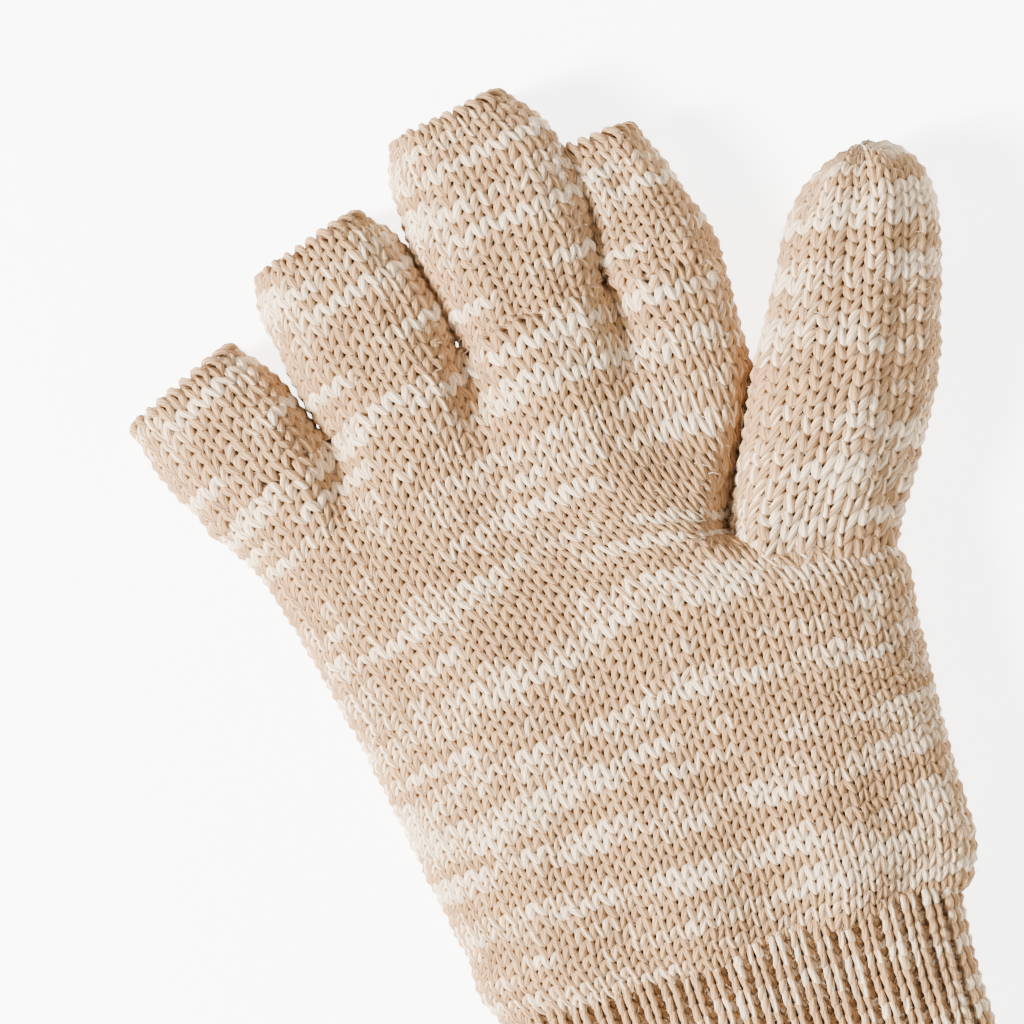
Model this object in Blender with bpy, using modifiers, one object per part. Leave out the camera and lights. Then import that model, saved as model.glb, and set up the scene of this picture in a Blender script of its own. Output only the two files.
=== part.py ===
"""Half-finger knitted glove for a right hand, lying on its back with the palm up.

+Y runs from the cuff to the fingers, +X to the thumb, and +Z out of the palm. The origin lies
under the middle of the palm, on the flat back of the hand that the glove rests on.
Plan sizes are written in millimetres and turned into metres by MM as the meshes are made.
"""

import math

import bmesh
import bpy
from mathutils import Matrix, Vector

MM = 0.001

# Fabric
WALL = 2.0  # thickness of the knitted wall
RIM_WALL = 2.5  # the rolled bind-off edge is a little thicker
GAP = 0.3  # clearance between pieces that touch
SLANT_GAP = 0.9  # more clearance where a slanting wall ends, since its inner edge leans forward
FOLD = 4.6  # half the length of the soft courses at a root, which fold as a joint bends

# Hand
WRIST_Y = -31.0  # middle of the wrist courses
HAND_LENGTH = 95.1  # wrist to the fork between the ring and middle fingers
FORK_X = -7.4  # that fork, measured from the middle of the palm
WRIST_WIDTH = 75.4
WRIST_SHIFT = 5.2  # middle of the wrist, measured from the middle of the palm
LEFT_CURVE = 1.75  # how late the little-finger side flares on its way up
HAND_THICK = 18.0
KNUCKLE_THICK = 15.5

# Fingers, from the fork beside the middle finger outwards. Lean is in degrees to the left.
# name: (root width, middle width, rim width, length from the fork line, lean)
FINGERS = {
    "little": (21.2, 21.4, 19.6, 18.4, 26.0),
    "ring": (22.8, 22.8, 19.3, 24.4, 14.0),
    "middle": (23.1, 25.2, 19.2, 31.9, 6.6),
    "index": (16.9, 15.2, 11.6, 24.2, 5.0),
}
FINGER_THICK = 15.0
RIM_LENGTH = 3.0
ROOT_TAPER = 1.3  # how much narrower a root is where it meets the hand
MIDDLE_AT = 0.55  # place of a finger's middle width along its length

# Thumb
THUMB_FORK = Vector((20.3, 21.8, 0.0))
THUMB_LEAN = -24.0
THUMB_WIDTHS = ((0.0, 28.4), (0.30, 28.4), (0.62, 26.2), (0.80, 22.8))  # share of length, width
THUMB_LENGTH = 64.5
THUMB_THICK = 16.5
THUMB_SIDE_GAP = 1.3  # between the hand and the thumb above their fork

# Cuff
CUFF_LENGTH = 65.0
CUFF_WIDTH = 68.0
CUFF_MOUTH_WIDTH = 71.0
CUFF_THICK = 15.0
EDGE_LENGTH = 4.0
ELASTIC_RADIUS = 0.4
ELASTIC_AT = (0.22, 0.42, 0.62)  # share of the cuff's length
LABEL_SIZE = (22.0, 13.0, 0.8)

# Sections
BRANCH_FLOOR = 0.4  # the thumb branch rides this much off the ground
BRANCH_BULGE = 1.2  # how far its outer side swells
BRANCH_LAP = 6.0  # how far it reaches into the palm, so that the two hollows are one
FORK_SIZE = 2.6  # width of the bars of closing stitches
FORK_ROUND = 0.6
FORK_DROP = 0.6  # how far below the roots they stand
FORK_LIFT = 0.45  # times the wall: the thumb fork stands on the ridge between the two hollows
FORK_TALL = 0.78  # the palm dips towards the fingers, so a fork is lower than the palm is thick
TIP_THIN = 0.45  # thickness left at the thumb's end, as a share
RING_POINTS = 24
SQUARENESS = 2.5  # exponent of the oval section
FLAT = 0.8  # how far down the oval is cut flat, as a share of its half height

TAN = (0.66, 0.49, 0.37, 1.0)
TAN_DARK = (0.50, 0.35, 0.25, 1.0)
CREAM = (0.82, 0.74, 0.64, 1.0)
ELASTIC_WHITE = (0.85, 0.83, 0.80, 1.0)

UP = Vector((0.0, 0.0, 1.0))
MODEL_NAME = "half_finger_glove"


def direction(lean):
    """Unit vector in plan that leans `lean` degrees to the left of +Y."""
    a = math.radians(lean)
    return Vector((-math.sin(a), math.cos(a), 0.0))


def across(lean):
    """Unit vector in plan to the right of direction(lean)."""
    a = math.radians(lean)
    return Vector((math.cos(a), math.sin(a), 0.0))


class Station:
    """One oval section: its ends in plan, its thickness and the height of its flat underside."""

    def __init__(self, left, right, thick, floor=0.0):
        self.left = left
        self.right = right
        self.thick = thick
        self.floor = floor

    def inset(self, wall):
        """The same section drawn in by a wall on every side."""
        side = (self.right - self.left).normalized() * wall
        return Station(self.left + side, self.right - side, self.thick - 2 * wall, self.floor + wall)

    def moved(self, step):
        """The same section moved in plan."""
        return Station(self.left + step, self.right + step, self.thick, self.floor)

    def ring(self):
        """Points of the section, anticlockwise about -Y, in metres."""
        centre = (self.left + self.right) / 2
        half_width = (self.right - self.left) / 2
        half_height = self.thick / (1 + FLAT)
        points = []
        for k in range(RING_POINTS):
            a = 2 * math.pi * (k + 0.5) / RING_POINTS
            x = math.copysign(abs(math.cos(a)) ** (2 / SQUARENESS), math.cos(a))
            z = math.copysign(abs(math.sin(a)) ** (2 / SQUARENESS), math.sin(a))
            height = self.floor + half_height * (max(z, -FLAT) + FLAT)
            points.append((centre + half_width * x + UP * height) * MM)
        return points


def at(origin, lean, along, width, thick, floor=0.0):
    """Station square to a finger's line, `along` it from its origin."""
    centre = origin + direction(lean) * along
    side = across(lean) * (width / 2)
    return Station(centre - side, centre + side, thick, floor)


def collection(name):
    """New collection in the scene."""
    made = bpy.data.collections.new(name)
    bpy.context.scene.collection.children.link(made)
    return made


def material(name, colour, roughness=0.9):
    """Matt yarn material."""
    made = bpy.data.materials.new(name)
    made.use_nodes = True
    shader = made.node_tree.nodes["Principled BSDF"]
    shader.inputs["Base Color"].default_value = colour
    shader.inputs["Roughness"].default_value = roughness
    shader.inputs["Metallic"].default_value = 0.0
    return made


def loft(stations, capped=False, tip=None):
    """Mesh of quads between sections listed from cuff to fingertip, closed by caps or a tip point."""
    bm = bmesh.new()
    rings = [[bm.verts.new(p) for p in s.ring()] for s in stations]
    for low, high in zip(rings, rings[1:]):
        for k in range(RING_POINTS):
            n = (k + 1) % RING_POINTS
            bm.faces.new((low[k], high[k], high[n], low[n]))
    if capped:
        bm.faces.new(rings[0])
        bm.faces.new(list(reversed(rings[-1])))
    if tip is not None:
        top = bm.verts.new(tip * MM)
        last = rings[-1]
        for k in range(RING_POINTS):
            bm.faces.new((last[k], top, last[(k + 1) % RING_POINTS]))
    mesh = bpy.data.meshes.new("loft")
    bm.to_mesh(mesh)
    bm.free()
    return mesh


def place(name, mesh, group, finish, pivot=None):
    """Object for a piece, with its origin on its joint's axis where it has one."""
    mesh.name = name
    made = bpy.data.objects.new(name, mesh)
    if pivot is not None:
        mesh.transform(Matrix.Translation(-pivot * MM))
        made.location = pivot * MM
    if finish is not None:
        mesh.materials.append(finish)
    group.objects.link(made)
    return made


def shell(name, stations, wall, group, finish, pivot=None, tip=None):
    """Knitted tube: an open loft with an even wall inside it."""
    made = place(name, loft(stations, tip=tip), group, finish, pivot)
    solid = made.modifiers.new("wall", "SOLIDIFY")
    solid.thickness = wall * MM
    solid.offset = -1.0
    solid.use_even_offset = True
    made.data.shade_smooth()
    return made


def cutter(name, stations):
    """Closed loft used to cut or join another piece."""
    made = place(name, loft(stations, capped=True), cutters, None)
    made.hide_render = True
    made.display_type = "WIRE"
    return made


def combine(target, other, operation):
    """Boolean modifier that joins `other` to a piece or cuts it away."""
    step = target.modifiers.new(other.name, "BOOLEAN")
    step.operation = operation
    step.solver = "EXACT"
    step.object = other


def finger_roots():
    """Middle of each finger's root on the line of the forks, chained from the middle fork outwards."""
    fork = Vector((FORK_X, WRIST_Y + HAND_LENGTH, 0.0))
    roots = {}
    point = fork
    for name in ("ring", "little"):
        width, lean = FINGERS[name][0] + GAP, FINGERS[name][4]
        roots[name] = point - across(lean) * (width / 2)
        point = point - across(lean) * width
    left_end = point
    point = fork
    for name in ("middle", "index"):
        width, lean = FINGERS[name][0] + GAP, FINGERS[name][4]
        roots[name] = point + across(lean) * (width / 2)
        point = point + across(lean) * width
    return roots, left_end, point


def palm_stations(left_end, right_end):
    """Sections of the hand from the wrist to past the fingers' roots, where they are trimmed."""
    start = WRIST_Y + FOLD + GAP
    wrist_left = WRIST_SHIFT - WRIST_WIDTH / 2
    wrist_right = WRIST_SHIFT + WRIST_WIDTH / 2
    little_lean = FINGERS["little"][4]
    top = right_end.y + 2 * FOLD
    levels = 9
    stations = []
    for k in range(levels + 1):
        y = start + (top - start) * k / levels
        t = (y - start) / (left_end.y - start)
        if t < 1:
            left = wrist_left + (left_end.x - wrist_left) * t**LEFT_CURVE
        else:
            left = left_end.x - math.tan(math.radians(little_lean)) * (y - left_end.y)
        beside = thumb_side(y) - THUMB_SIDE_GAP
        low = THUMB_FORK.y - FOLD
        if y < low:
            foot = thumb_side(low) - THUMB_SIDE_GAP
            right = wrist_right + (foot - wrist_right) * (y - start) / (low - start)
        else:
            right = min(beside, right_end.x)
        share = max(0.0, min(1.0, (y - THUMB_FORK.y) / (right_end.y - THUMB_FORK.y)))
        thick = HAND_THICK + (KNUCKLE_THICK - HAND_THICK) * share
        stations.append(Station(Vector((left, y, 0)), Vector((right, y, 0)), thick))
    return stations


def thumb_side(y):
    """X of the line along the thumb's inner side at a height in plan."""
    return THUMB_FORK.x - math.tan(math.radians(THUMB_LEAN)) * (y - THUMB_FORK.y)


def thumb_origin():
    """Middle of the thumb's root."""
    return THUMB_FORK + across(THUMB_LEAN) * (THUMB_WIDTHS[0][1] / 2 + GAP)


def thumb_base_stations(origin):
    """Sections of the hand's thumb branch, from inside the palm to the thumb's root."""
    start = WRIST_Y + FOLD + GAP
    wrist_right = WRIST_SHIFT + WRIST_WIDTH / 2
    end = at(origin, THUMB_LEAN, -(FOLD + GAP), THUMB_WIDTHS[0][1] - ROOT_TAPER, THUMB_THICK, BRANCH_FLOOR)
    first = Station(
        Vector((wrist_right - THUMB_WIDTHS[0][1], start + BRANCH_FLOOR, 0)),
        Vector((wrist_right - WALL / 2, start + BRANCH_FLOOR, 0)),
        THUMB_THICK,
        BRANCH_FLOOR,
    )
    stations = [first]
    for share in (0.35, 0.7):
        left = first.left.lerp(end.left, share) - across(0) * BRANCH_LAP
        right = first.right.lerp(end.right, share) + across(THUMB_LEAN) * BRANCH_BULGE * math.sin(math.pi * share)
        stations.append(Station(left, right, THUMB_THICK, BRANCH_FLOOR))
    stations.append(end)
    return stations


def extended(stations, before, after):
    """Sections run on past both ends, so that a cut goes right through."""
    first, second = stations[0], stations[1]
    last, previous = stations[-1], stations[-2]
    back = ((first.left + first.right) - (second.left + second.right)).normalized() * before
    on = ((last.left + last.right) - (previous.left + previous.right)).normalized() * after
    return [first.moved(back)] + stations[1:-1] + [last.moved(on)]


def trim(name, origin, lean):
    """Block that takes away the hand beyond a finger's root."""
    size = HAND_LENGTH * 2
    mesh = bpy.data.meshes.new(name)
    bm = bmesh.new()
    bmesh.ops.create_cube(bm, size=size * MM)
    bm.to_mesh(mesh)
    bm.free()
    made = place(name, mesh, cutters, None)
    centre = origin + direction(lean) * (size / 2 - FOLD - GAP / 2)
    made.matrix_world = Matrix.Translation(centre * MM) @ Matrix.Rotation(math.radians(lean), 4, "Z")
    made.hide_render = True
    made.display_type = "WIRE"
    return made


def build_hand(roots, left_end, right_end):
    """Hand tube: palm and thumb branch in one, hollow, and open at the wrist, fingers and thumb."""
    palm = palm_stations(left_end, right_end)
    branch = thumb_base_stations(thumb_origin())
    hand = place("hand_tube", loft(palm, capped=True), glove, yarn)
    combine(hand, cutter("thumb_branch", branch), "UNION")
    inner_palm = extended([s.inset(WALL) for s in palm], 3 * GAP, 3 * GAP)
    combine(hand, cutter("palm_hollow", inner_palm), "DIFFERENCE")
    inner_branch = extended([s.inset(WALL) for s in branch], 0.0, 3 * GAP)
    inner_branch[0] = inner_branch[0].moved(direction(0) * WALL)
    combine(hand, cutter("thumb_hollow", inner_branch), "DIFFERENCE")
    for name, root in roots.items():
        combine(hand, trim(f"{name}_trim", root, FINGERS[name][4]), "DIFFERENCE")


def build_finger(name, root):
    """Root courses, stub and bind-off rim of one finger."""
    width, middle, rim, length, lean = FINGERS[name]
    pivot = root + UP * (FINGER_THICK / 2)
    start = FOLD + GAP
    end = length - RIM_LENGTH
    soft = [
        at(root, lean, -FOLD, width - 2 * ROOT_TAPER, FINGER_THICK),
        at(root, lean, 0.0, width, FINGER_THICK),
        at(root, lean, FOLD, width, FINGER_THICK),
    ]
    shell(f"{name}_root", soft, WALL, glove, yarn, pivot)
    waist = max(start + GAP, length * MIDDLE_AT)
    near = width + (middle - width) * start / waist
    last = middle + (rim - middle) * (end - waist) / (length - waist)
    stub = [
        at(root, lean, start, near, FINGER_THICK),
        at(root, lean, waist, middle, FINGER_THICK),
        at(root, lean, end, last, FINGER_THICK),
    ]
    shell(f"{name}_stub", stub, WALL, glove, yarn, pivot)
    edge = [
        at(root, lean, end + GAP, last, FINGER_THICK),
        at(root, lean, length, rim, FINGER_THICK),
    ]
    shell(f"{name}_rim", edge, RIM_WALL, glove, rim_yarn, pivot)


def build_fork(name, point, lean, thick, floor=0.0):
    """Closing stitches: a short bar that joins palm and back between two fingers."""
    mesh = bpy.data.meshes.new(name)
    bm = bmesh.new()
    bmesh.ops.create_cube(bm, size=1.0)
    height = (thick - 2 * WALL - 2 * GAP) * FORK_TALL
    bmesh.ops.scale(bm, vec=Vector((FORK_SIZE * MM, FORK_SIZE * MM, height * MM)), verts=bm.verts)
    bmesh.ops.bevel(
        bm,
        geom=bm.edges[:],
        offset=FORK_ROUND * MM,
        segments=2,
        profile=0.5,
        affect="EDGES",
    )
    bm.to_mesh(mesh)
    bm.free()
    made = place(name, mesh, glove, rim_yarn)
    centre = point + UP * (floor + WALL + GAP + height / 2)
    made.matrix_world = Matrix.Translation(centre * MM) @ Matrix.Rotation(math.radians(lean), 4, "Z")


def build_forks(roots):
    """Closing stitches at the three finger forks and at the thumb's."""
    names = ("little", "ring", "middle", "index")
    for left, right in zip(names, names[1:]):
        lean = (FINGERS[left][4] + FINGERS[right][4]) / 2
        edge = roots[left] + across(FINGERS[left][4]) * (FINGERS[left][0] + GAP) / 2
        below = FOLD + 2 * GAP + FORK_SIZE / 2 + FORK_DROP
        build_fork(f"{left}_{right}_fork", edge - direction(lean) * below, lean, KNUCKLE_THICK)
    lean = THUMB_LEAN / 2
    below = 2 * FOLD + 3.6 * WALL
    thick = THUMB_THICK - 2 * max(0.0, THUMB_THICK - HAND_THICK)
    build_fork("thumb_fork", THUMB_FORK - direction(lean) * below, lean, thick, BRANCH_FLOOR + FORK_LIFT * WALL)


def build_thumb():
    """Root courses, tube and closed tip of the thumb."""
    origin = thumb_origin()
    pivot = origin + UP * (THUMB_THICK / 2)
    root_width = THUMB_WIDTHS[0][1]
    soft = [
        at(origin, THUMB_LEAN, -FOLD, root_width - 2 * ROOT_TAPER, THUMB_THICK),
        at(origin, THUMB_LEAN, 0.0, root_width, THUMB_THICK),
        at(origin, THUMB_LEAN, FOLD, root_width, THUMB_THICK),
    ]
    shell("thumb_root", soft, WALL, glove, yarn, pivot)
    tube = [at(origin, THUMB_LEAN, FOLD + GAP, root_width, THUMB_THICK)]
    for share, width in THUMB_WIDTHS[1:]:
        tube.append(at(origin, THUMB_LEAN, share * THUMB_LENGTH, width, THUMB_THICK))
    shell("thumb_tube", tube, WALL, glove, yarn, pivot)
    tip_share, tip_width = THUMB_WIDTHS[-1]
    start = tip_share * THUMB_LENGTH + GAP
    dome = []
    for turn in (0, 25, 50, 70, 84):
        rise = math.sin(math.radians(turn))
        draw = math.cos(math.radians(turn))
        thick = THUMB_THICK * (TIP_THIN + (1 - TIP_THIN) * draw)
        along = start + (THUMB_LENGTH - start) * rise
        floor = (THUMB_THICK - thick) / 2
        dome.append(at(origin, THUMB_LEAN, along, tip_width * draw, thick, floor))
    tip = origin + direction(THUMB_LEAN) * THUMB_LENGTH + UP * (THUMB_THICK / 2)
    shell("thumb_tip", dome, WALL, glove, rim_yarn, pivot, tip=tip)


def cuff_station(y, thick=CUFF_THICK):
    """Section of the cuff at a height in plan."""
    share = (WRIST_Y - y) / CUFF_LENGTH
    width = CUFF_WIDTH + (CUFF_MOUTH_WIDTH - CUFF_WIDTH) * share
    half = width / 2
    return Station(Vector((WRIST_SHIFT - half, y, 0)), Vector((WRIST_SHIFT + half, y, 0)), thick)


def build_cuff():
    """Wrist courses, ribbed cuff, its welt, elastic threads and label."""
    pivot = Vector((WRIST_SHIFT, WRIST_Y, CUFF_THICK / 2))
    top = WRIST_Y - FOLD
    mouth = WRIST_Y - CUFF_LENGTH
    wrist = [
        cuff_station(top),
        Station(
            Vector((WRIST_SHIFT - WRIST_WIDTH / 2, WRIST_Y + FOLD - SLANT_GAP, 0)),
            Vector((WRIST_SHIFT + WRIST_WIDTH / 2, WRIST_Y + FOLD - SLANT_GAP, 0)),
            HAND_THICK,
        ),
    ]
    shell("wrist_courses", wrist, WALL, glove, yarn, pivot)
    rib = [cuff_station(mouth + EDGE_LENGTH + GAP), cuff_station((top + mouth) / 2), cuff_station(top - GAP)]
    shell("cuff_rib", rib, WALL, glove, yarn, pivot)
    edge = [cuff_station(mouth), cuff_station(mouth + EDGE_LENGTH)]
    shell("cuff_edge", edge, RIM_WALL, glove, rim_yarn, pivot)
    for number, share in enumerate(ELASTIC_AT, start=1):
        y = WRIST_Y - share * CUFF_LENGTH
        inside = cuff_station(y).inset(WALL + 3 * GAP + ELASTIC_RADIUS)
        curve = bpy.data.curves.new(f"cuff_elastic_{number}", "CURVE")
        curve.dimensions = "3D"
        curve.bevel_depth = ELASTIC_RADIUS * MM
        curve.bevel_resolution = 1
        spline = curve.splines.new("POLY")
        points = inside.ring()
        spline.points.add(len(points) - 1)
        for target, point in zip(spline.points, points):
            target.co = (*point, 1.0)
        spline.use_cyclic_u = True
        curve.materials.append(elastic)
        glove.objects.link(bpy.data.objects.new(f"cuff_elastic_{number}", curve))
    mesh = bpy.data.meshes.new("care_label")
    bm = bmesh.new()
    bmesh.ops.create_cube(bm, size=1.0)
    bmesh.ops.scale(bm, vec=Vector(LABEL_SIZE) * MM, verts=bm.verts)
    bm.to_mesh(mesh)
    bm.free()
    label = place("care_label", mesh, glove, satin)
    height = WALL + GAP + LABEL_SIZE[2] / 2
    clear = EDGE_LENGTH + 2 * GAP + LABEL_SIZE[1] / 2
    label.location = Vector((WRIST_SHIFT, mouth + clear, height)) * MM



for old in list(bpy.data.objects):
    bpy.data.objects.remove(old)

glove = collection(MODEL_NAME)
cutters = collection("cutters")
yarn = material("marl_yarn", TAN)
rim_yarn = material("edge_yarn", TAN_DARK)
elastic = material("elastic_thread", ELASTIC_WHITE, 0.6)
satin = material("label_satin", CREAM, 0.45)

root_points, little_end, index_end = finger_roots()
build_hand(root_points, little_end, index_end)
for finger, root_point in root_points.items():
    build_finger(finger, root_point)
build_forks(root_points)
build_thumb()
build_cuff()
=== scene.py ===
"""Looks of a half-finger glove, knitted in the round from a two-ply marl yarn.

Every knitted tube is worked as a real fabric is: one loop of yarn is made, repeated into a flat
swatch of wales (columns) and courses (rows), and the swatch is laid round the tube's pressed form.
Plan sizes are in millimetres in the frame's own axes: +Y to the fingers, +X to the thumb, +Z up.
"""

import logging
import math
from collections.abc import Callable
from dataclasses import dataclass, field
from enum import Enum

import bmesh
import bpy
import numpy as np
from mathutils import Matrix, Vector

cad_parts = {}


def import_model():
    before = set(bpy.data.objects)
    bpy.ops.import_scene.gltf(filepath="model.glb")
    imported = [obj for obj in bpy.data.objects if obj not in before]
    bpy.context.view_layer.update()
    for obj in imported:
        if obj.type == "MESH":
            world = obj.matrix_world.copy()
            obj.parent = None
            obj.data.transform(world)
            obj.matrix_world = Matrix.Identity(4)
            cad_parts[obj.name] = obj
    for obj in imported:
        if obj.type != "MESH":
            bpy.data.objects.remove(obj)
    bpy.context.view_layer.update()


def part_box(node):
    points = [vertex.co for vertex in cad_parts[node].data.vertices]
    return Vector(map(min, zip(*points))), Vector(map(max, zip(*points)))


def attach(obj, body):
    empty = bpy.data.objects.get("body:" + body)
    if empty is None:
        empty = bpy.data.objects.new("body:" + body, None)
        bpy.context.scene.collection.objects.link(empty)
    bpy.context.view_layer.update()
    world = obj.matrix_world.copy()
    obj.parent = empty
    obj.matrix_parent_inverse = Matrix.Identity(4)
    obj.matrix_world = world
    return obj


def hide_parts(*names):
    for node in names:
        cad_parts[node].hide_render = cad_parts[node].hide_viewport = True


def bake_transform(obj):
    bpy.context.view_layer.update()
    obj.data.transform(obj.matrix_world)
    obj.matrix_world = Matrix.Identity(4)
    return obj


MM = 0.001
SAMPLES = 4  # grid samples for each stitch of a form
SECTION_STEPS = 240  # points round a section before it is divided into wales
WELD = 2e-6  # metres
FLAT = 0.8  # how far down a section is cut flat, as a share of its half height
SQUARENESS = 2.5  # exponent of the oval section
FABRIC_INSET = 1.2  # from the outside of the knit to the middle of its thickness
THINNEST = 0.6  # least height of a section, in millimetres
SWELLS = 10  # waves that make the fabric's soft swells
DRIFTS = 14  # waves that move the stitches along and across
BAKE_GAP = 0.08  # space left between courses in the bake map, as a share of one
PAINTED_SHADE = (0.62, 0.54, 0.48, 1)  # painted shade: what multiplies the yarn's colour in its grooves and where it lies deep in the fabric
FOLD = 4.6  # half the length of fabric about a joint

log = logging.getLogger("glove")
Feed = bpy.types.NodeSocket | float | tuple  # what a node's input can be given


class Stitch(Enum):
    """The fabrics that a tube can be knitted in."""

    PLAIN = "plain"
    RIB = "rib"


# ---------------------------------------------------------------- finishes


def new_group(name: str, inputs: dict[str, tuple], outputs: dict[str, str]) -> bpy.types.NodeTree:
    """Starts a shader node group.

    Args:
        name: the group's name.
        inputs: name to (socket kind, default value).
        outputs: name to socket kind.

    Returns:
        The group, with its input and output nodes in it.
    """
    group = bpy.data.node_groups.new(name, "ShaderNodeTree")
    for label, (kind, value) in inputs.items():
        socket = group.interface.new_socket(label, in_out="INPUT", socket_type=kind)
        if value is not None:
            socket.default_value = value
    for label, kind in outputs.items():
        group.interface.new_socket(label, in_out="OUTPUT", socket_type=kind)
    group.nodes.new("NodeGroupInput")
    group.nodes.new("NodeGroupOutput")
    return group


@dataclass
class Nodes:
    """Short words for placing and joining shader nodes in one tree."""

    tree: bpy.types.NodeTree

    def add(self, kind: str, inputs: dict | None = None, **settings: object) -> bpy.types.Node:
        """Adds a node, sets its properties, and links or sets its inputs.

        Args:
            kind: the node's type name.
            inputs: socket name or index to a value or to the socket that feeds it.
            settings: the node's own properties.

        Returns:
            The new node.
        """
        node = self.tree.nodes.new(kind)
        for key, value in settings.items():
            setattr(node, key, value)
        for key, value in (inputs or {}).items():
            if isinstance(value, bpy.types.NodeSocket):
                self.tree.links.new(value, node.inputs[key])
            else:
                node.inputs[key].default_value = value
        return node

    def maths(self, operation: str, *values: Feed) -> bpy.types.NodeSocket:
        """Adds a Math node and gives its result."""
        inputs = dict(enumerate(values))
        return self.add("ShaderNodeMath", inputs, operation=operation).outputs[0]

    def mix(self, factor: Feed, low: Feed, high: Feed) -> bpy.types.NodeSocket:
        """Mixes two colours and gives the result."""
        inputs = {"Factor": factor, 6: low, 7: high}
        return self.add("ShaderNodeMix", inputs, data_type="RGBA").outputs[2]

    def paint_shade(self, factor: float, colour: Feed) -> bpy.types.NodeSocket:
        """Makes a colour darker with painted shade, as falls in the yarn's grooves and where it lies
        deep.

        Args:
            factor: how strongly.
            colour: the colour, or the socket that gives it.

        Returns:
            The socket with the darker colour.
        """
        inputs = {"Factor": factor, 6: colour, 7: PAINTED_SHADE}
        settings = {"data_type": "RGBA", "blend_type": "MULTIPLY"}
        return self.add("ShaderNodeMix", inputs, **settings).outputs[2]

    def ramp(self, value: Feed, low: float, high: float) -> bpy.types.NodeSocket:
        """Smooth step of a value from low to high."""
        inputs = {"Value": value, "From Min": low, "From Max": high}
        return self.add("ShaderNodeMapRange", inputs, interpolation_type="SMOOTHSTEP").outputs[0]


def twist_group() -> bpy.types.NodeTree:
    """Group that winds two plies round each other along a yarn.

    Returns:
        The group: Ply goes from 0 to 1 with the ply seen, Height is the twist's relief, Fibre is the
            streaks of single fibres, and the groove mask is 1 between the plies, where it paints shade
            on the yarn's colour.
    """
    group = new_group(
        "ply_twist",
        {"Turns": ("NodeSocketFloat", 3.0), "Strands": ("NodeSocketFloat", 2.0)},
        {
            "Ply": "NodeSocketFloat",
            "Height": "NodeSocketFloat",
            "Fibre": "NodeSocketFloat",
            "GrooveShade": "NodeSocketFloat",
        },
    )
    n = Nodes(group)
    start, end = group.nodes[0], group.nodes[1]
    uv = n.add("ShaderNodeUVMap", uv_map="Ply").outputs[0]
    parts = n.add("ShaderNodeSeparateXYZ", {0: uv})
    along = n.maths("MULTIPLY", parts.outputs[0], start.outputs["Turns"])
    phase = n.maths("ADD", along, n.maths("MULTIPLY", parts.outputs[1], start.outputs["Strands"]))
    angle = n.maths("MULTIPLY", phase, 2 * math.pi)
    wave = n.maths("SINE", angle)
    twice = n.maths("COSINE", n.maths("MULTIPLY", angle, 2.0))
    groove = n.maths("POWER", n.maths("ABSOLUTE", wave), 0.5)
    across, length = n.maths("MULTIPLY", phase, 9.0), n.maths("MULTIPLY", parts.outputs[0], 1.6)
    fine = n.add("ShaderNodeCombineXYZ", {0: across, 1: length, 2: twice}).outputs[0]
    inputs = {"Vector": fine, "Scale": 1.7, "Detail": 3.0, "Roughness": 0.6}
    fibre = n.add("ShaderNodeTexNoise", inputs).outputs["Fac"]
    height = n.maths("ADD", groove, fibre)
    group.links.new(n.ramp(wave, -0.25, 0.25), end.inputs["Ply"])
    group.links.new(height, end.inputs["Height"])
    group.links.new(n.ramp(groove, 0.72, 0.15), end.inputs["GrooveShade"])
    group.links.new(fibre, end.inputs["Fibre"])
    return group


def streak(n: Nodes, place: tuple, wales: float, courses: float, offset: float, detail: float) -> Feed:
    """Noise that is drawn out along a course.

    Args:
        n: the tree to add to.
        place: sockets with the wale and the course.
        wales: how quickly it changes from wale to wale.
        courses: how quickly it changes from course to course.
        offset: which part of the noise is used.
        detail: octaves of finer noise.

    Returns:
        The noise's value, around a half.
    """
    across = n.maths("MULTIPLY", place[0], wales)
    up = n.maths("MULTIPLY", place[1], courses)
    vector = n.add("ShaderNodeCombineXYZ", {0: across, 1: up, 2: offset}).outputs[0]
    inputs = {"Vector": vector, "Scale": 1.0, "Detail": detail}
    return n.add("ShaderNodeTexNoise", inputs).outputs["Fac"]


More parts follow.
